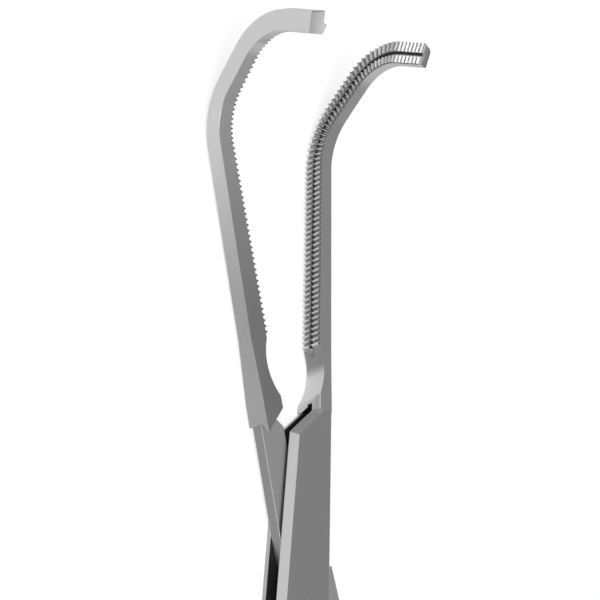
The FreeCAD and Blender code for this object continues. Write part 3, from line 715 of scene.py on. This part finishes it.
def soft_lock(node, width, body, finish, second, is_second):
    """A lock body with softened edges, but for the rim of its bore, where the pin is ground
    flush. Faces that is_second picks take the second finish, which carries painted shade."""
    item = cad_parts[node]
    build = bmesh.new()
    build.from_mesh(item.data)
    build.transform(item.matrix_world)
    bmesh.ops.remove_doubles(build, verts=build.verts, dist=0.002 * MM)
    bmesh.ops.dissolve_limit(build, angle_limit=math.radians(1), verts=build.verts, edges=build.edges)
    rim = 1.3 * MM
    edges = []
    for edge in build.edges:
        away = min(math.hypot(vert.co.x, vert.co.y) for vert in edge.verts)
        if len(edge.link_faces) == 2 and edge.calc_face_angle() > math.radians(20) and away > rim:
            edges.append(edge)
    bmesh.ops.bevel(build, geom=edges, offset=width * MM, segments=2, profile=0.5,
                    affect="EDGES", clamp_overlap=True)
    bmesh.ops.triangulate(build, faces=[face for face in build.faces if len(face.verts) > 4])
    bmesh.ops.recalc_face_normals(build, faces=build.faces)
    for face in build.faces:
        face.material_index = 1 if is_second(face) else 0
    mesh = bpy.data.meshes.new(node + "_soft")
    build.to_mesh(mesh)
    build.free()
    piece = piece_from(node + "_soft", mesh, [finish, second], body, 50.0)
    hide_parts(node)
    weighted = piece.modifiers.new("flat faces", "WEIGHTED_NORMAL")
    weighted.keep_sharp = True
    return piece


def in_slot(face):
    """True on the faces that line the box's slot."""
    return all(REAR_WALL - 0.01 < vert.co.z / MM < 2 * MID_HEIGHT - FRONT_WALL + 0.01 for vert in face.verts)


for node, material, width in (("pivot_pin", LOCK_STEEL, 0.0), ("female_shank", HANDLE_STEEL, 0.2),
                              ("male_shank", HANDLE_STEEL, 0.2), ("female_ratchet", HANDLE_STEEL, 0.06),
                              ("male_ratchet", HANDLE_STEEL, 0.06), ("female_ring", HANDLE_STEEL, 0.25),
                              ("male_ring", HANDLE_STEEL, 0.25)):
    dress(node, material, width)
# painted shade: the slot's lining and the tongue's sides take darker steel
soft_lock("female_box", 0.04, "female_half", LOCK_STEEL, SLOT_SHADE_STEEL, in_slot)
soft_lock("male_tongue", 0.04, "male_half", TONGUE_STEEL, TONGUE_SIDE_SHADE_STEEL, lambda face: abs(face.normal.z) < 0.3)


# Floor, lamps and camera
def floor_material():
    """White floor that keeps the shadow and shows white to the camera and in steel."""
    material = bpy.data.materials.new("White floor")
    material.use_nodes = True
    nodes, links = material.node_tree.nodes, material.node_tree.links
    shader = nodes["Principled BSDF"]
    shader.inputs["Base Color"].default_value = (0.85, 0.85, 0.85, 1)
    shader.inputs["Roughness"].default_value = 0.9
    shader.inputs["Specular IOR Level"].default_value = 0.0
    path = nodes.new("ShaderNodeLightPath")
    glossy = nodes.new("ShaderNodeMath")
    glossy.operation = "MULTIPLY"
    glossy.inputs[1].default_value = 0.1
    links.new(path.outputs["Is Glossy Ray"], glossy.inputs[0])
    level = nodes.new("ShaderNodeMath")
    level.operation = "MULTIPLY_ADD"
    level.inputs[1].default_value = 0.5
    links.new(path.outputs["Is Camera Ray"], level.inputs[0])
    links.new(glossy.outputs[0], level.inputs[2])
    shader.inputs["Emission Color"].default_value = (1, 1, 1, 1)
    links.new(level.outputs[0], shader.inputs["Emission Strength"])
    return material


def make_stage():
    """A large pale floor just below the clamp."""
    mesh = bpy.data.meshes.new("floor")
    half, low = 3.0, -0.00005
    corners = [(-half, -half, low), (half, -half, low), (half, half, low), (-half, half, low)]
    mesh.from_pydata(corners, [], [(0, 1, 2, 3)])
    floor = bpy.data.objects.new("floor", mesh)
    bpy.context.scene.collection.objects.link(floor)
    mesh.materials.append(floor_material())


def add_lamp(name, place, target, size, power):
    """A square soft box aimed at a point."""
    data = bpy.data.lights.new(name, "AREA")
    data.shape = "SQUARE"
    data.size = size
    data.energy = power
    lamp = bpy.data.objects.new(name, data)
    bpy.context.scene.collection.objects.link(lamp)
    lamp.location = place
    lamp.rotation_mode = "QUATERNION"
    lamp.rotation_quaternion = (Vector(target) - Vector(place)).to_track_quat("-Z", "Y")


def make_world():
    """An even grey room, white where the camera sees it."""
    world = bpy.data.worlds.new("Studio")
    bpy.context.scene.world = world
    world.use_nodes = True
    nodes, links = world.node_tree.nodes, world.node_tree.links
    room = nodes["Background"]
    room.inputs["Color"].default_value = (0.3, 0.3, 0.3, 1)
    room.inputs["Strength"].default_value = 1.0
    white = nodes.new("ShaderNodeBackground")
    white.inputs["Color"].default_value = (1, 1, 1, 1)
    path = nodes.new("ShaderNodeLightPath")
    mix = nodes.new("ShaderNodeMixShader")
    links.new(path.outputs["Is Camera Ray"], mix.inputs[0])
    links.new(room.outputs[0], mix.inputs[1])
    links.new(white.outputs[0], mix.inputs[2])
    links.new(mix.outputs[0], nodes["World Output"].inputs["Surface"])


SENSOR_WIDTH, FOCAL_PIXELS, PICTURE_PIXELS = 36.0, 1962.68, 600


def make_camera():
    """The photograph's view: from the left and above, jaws upwards in the picture."""
    right = Vector((0.018203, -0.755200, 0.655242))
    up = Vector((0.927504, 0.257484, 0.270997))
    back = Vector((-0.373371, 0.602806, 0.705138))
    data = bpy.data.cameras.new("Camera")
    data.sensor_width = SENSOR_WIDTH
    data.lens = SENSOR_WIDTH * FOCAL_PIXELS / PICTURE_PIXELS
    data.clip_start = 0.01
    data.clip_end = 10.0
    camera = bpy.data.objects.new("Camera", data)
    bpy.context.scene.collection.objects.link(camera)
    turn = Matrix((right, up, back)).transposed().to_4x4()
    camera.matrix_world = Matrix.Translation(Vector((-36.942, 104.097, 120.381 + MID_HEIGHT)) * MM) @ turn
    bpy.context.scene.camera = camera


make_stage()
LAMP_TARGET = (0.03, 0, 0)
add_lamp("large soft box", (0.33, 0.52, 0.45), LAMP_TARGET, 0.9, 1.6)
add_lamp("lamp by the viewer", (-0.37, 0.40, 0.74), LAMP_TARGET, 0.35, 3.0)
make_world()
make_camera()
bpy.context.scene.view_settings.view_transform = "Standard"
